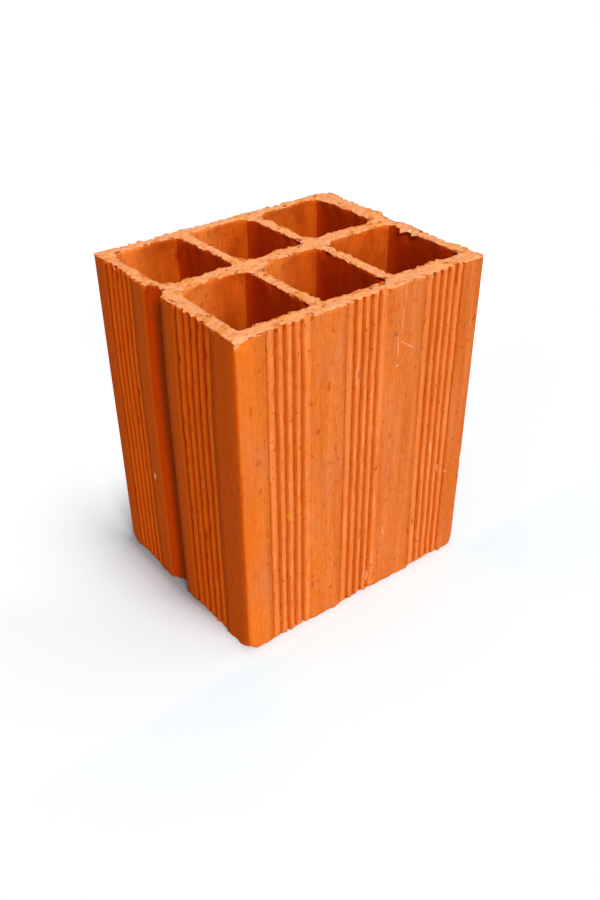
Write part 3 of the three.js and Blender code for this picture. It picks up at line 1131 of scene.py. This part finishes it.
# %% Open paper behind the shade
LIFT_BEHIND = 0.23
WEDGE_CORNER = (-88 * MM, 60 * MM, 0)
WEDGE_SLOPES = (0.18, 0.55)
WEDGE_ENDS = ((95, 130), (330, 180))
from_wedge = add_node(tree, "VectorMath", {"operation": "SUBTRACT", 0: place, 1: WEDGE_CORNER})
from_wedge = add_node(tree, "SeparateXYZ", {"Vector": from_wedge}).node.outputs
slope = add_node(tree, "Math", {"operation": "DIVIDE", 0: from_wedge["X"], 1: from_wedge["Y"]})
extra = add_node(
    tree, "MapRange",
    {"From Min": WEDGE_SLOPES[0], "From Max": WEDGE_SLOPES[1], "To Max": LIFT_BEHIND,
     "Value": slope})
for start, finish in WEDGE_ENDS:
    part = add_node(
        tree, "MapRange", {"From Min": start * MM, "From Max": finish * MM, "Value": across["Y"]})
    extra = add_node(tree, "Math", {"operation": "MULTIPLY", 0: extra, 1: part})
lift = add_node(tree, "Math", {"operation": "ADD", 0: lift, 1: extra})
print("lift behind, at most:", round(LIFT + LIFT_BEHIND, 3))

# %% [markdown]
# The lift is a glow that only the camera's own rays see, so it doesn't light the clay. It can't
# be less than nothing. Where the sum falls below that, the paper itself turns grey instead.

# %% Paper shader
DEEPEST = -0.20
shown_lift = add_node(tree, "Math", {"operation": "MAXIMUM", 0: lift, 1: 0.0})
camera_ray = add_node(tree, "LightPath", {}, "Is Camera Ray")
shown_lift = add_node(tree, "Math", {"operation": "MULTIPLY", 0: shown_lift, 1: camera_ray})
unshaded = add_node(tree, "MapRange", {"From Min": DEEPEST, "From Max": 0.0, "Value": lift})
paper_colour = add_node(
    tree, "Mix", {"data_type": "RGBA", 0: unshaded, 6: linear("#A6A8AC"), 7: linear("#D3D6DA")}, 2)
matt = add_node(tree, "BsdfDiffuse", {"Color": paper_colour})
glow_shader = add_node(tree, "Emission", {"Color": lift_colour, "Strength": shown_lift})
both = add_node(tree, "AddShader", {0: matt, 1: glow_shader})
add_node(tree, "OutputMaterial", {"Surface": both})
floor.data.materials.append(paper)
print("nodes in the paper:", len(tree.nodes))

# %% [markdown]
# ## Light
# The light is that of a small studio: a large soft box in front, a weak one on the left that
# models the keyway, and one overhead for the torn end. Area lamps would fall off across the
# block, so each box is a wide patch of sky.

# %% Lamps
def soft_light(name, direction, spread, level):
    """Even light from a wide patch of sky; level 1 shows a colour as it is written."""
    light_data = bpy.data.lights.new(name, "SUN")
    light_data.angle = math.radians(spread)
    light_data.energy = level * math.pi
    light = bpy.data.objects.new(name, light_data)
    light.rotation_euler = Vector(direction).to_track_quat("Z", "Y").to_euler()
    bpy.context.scene.collection.objects.link(light)
    print(name + ": level", level)


soft_light("front_softbox", (-0.25, -0.75, 0.61), 24, 0.67)
soft_light("left_softbox", (-0.90, -0.28, 0.34), 40, 0.10)
soft_light("overhead_softbox", (0.30, -0.35, 0.89), 60, 0.32)

# %% [markdown]
# White walls fill the shadows. The world is plain white where it is seen, directly or in a
# gloss, and much weaker as a light, so the cells stay dark inside.

# %% World
AMBIENT = 0.30
world = bpy.data.worlds.new("studio_surround")
bpy.context.scene.world = world
world.use_nodes = True
tree = world.node_tree
tree.nodes.clear()
rays = add_node(tree, "LightPath", {}).node.outputs
seen = add_node(
    tree, "Math",
    {"operation": "MAXIMUM", 0: rays["Is Camera Ray"], 1: rays["Is Transmission Ray"]})
seen = add_node(tree, "Math", {"operation": "MAXIMUM", 0: seen, 1: rays["Is Glossy Ray"]})
strength = add_node(tree, "MapRange", {"To Min": AMBIENT, "To Max": 1.0, "Value": seen})
background = add_node(tree, "Background", {"Color": linear("#FFFFFF"), "Strength": strength})
add_node(tree, "OutputWorld", {"Surface": background})
print("light from the surround:", AMBIENT)

# %% [markdown]
# ## Finish
# The standard view transform shows the hex colours as they are written. The packed model's box
# is printed, the box at which the moved corners were cut off.

# %% Finish
bpy.context.scene.view_settings.view_transform = "Standard"
bpy.context.view_layer.update()
print("CAD box, mm:", [[round(v / MM, 2) for v in corner] for corner in cad_box])
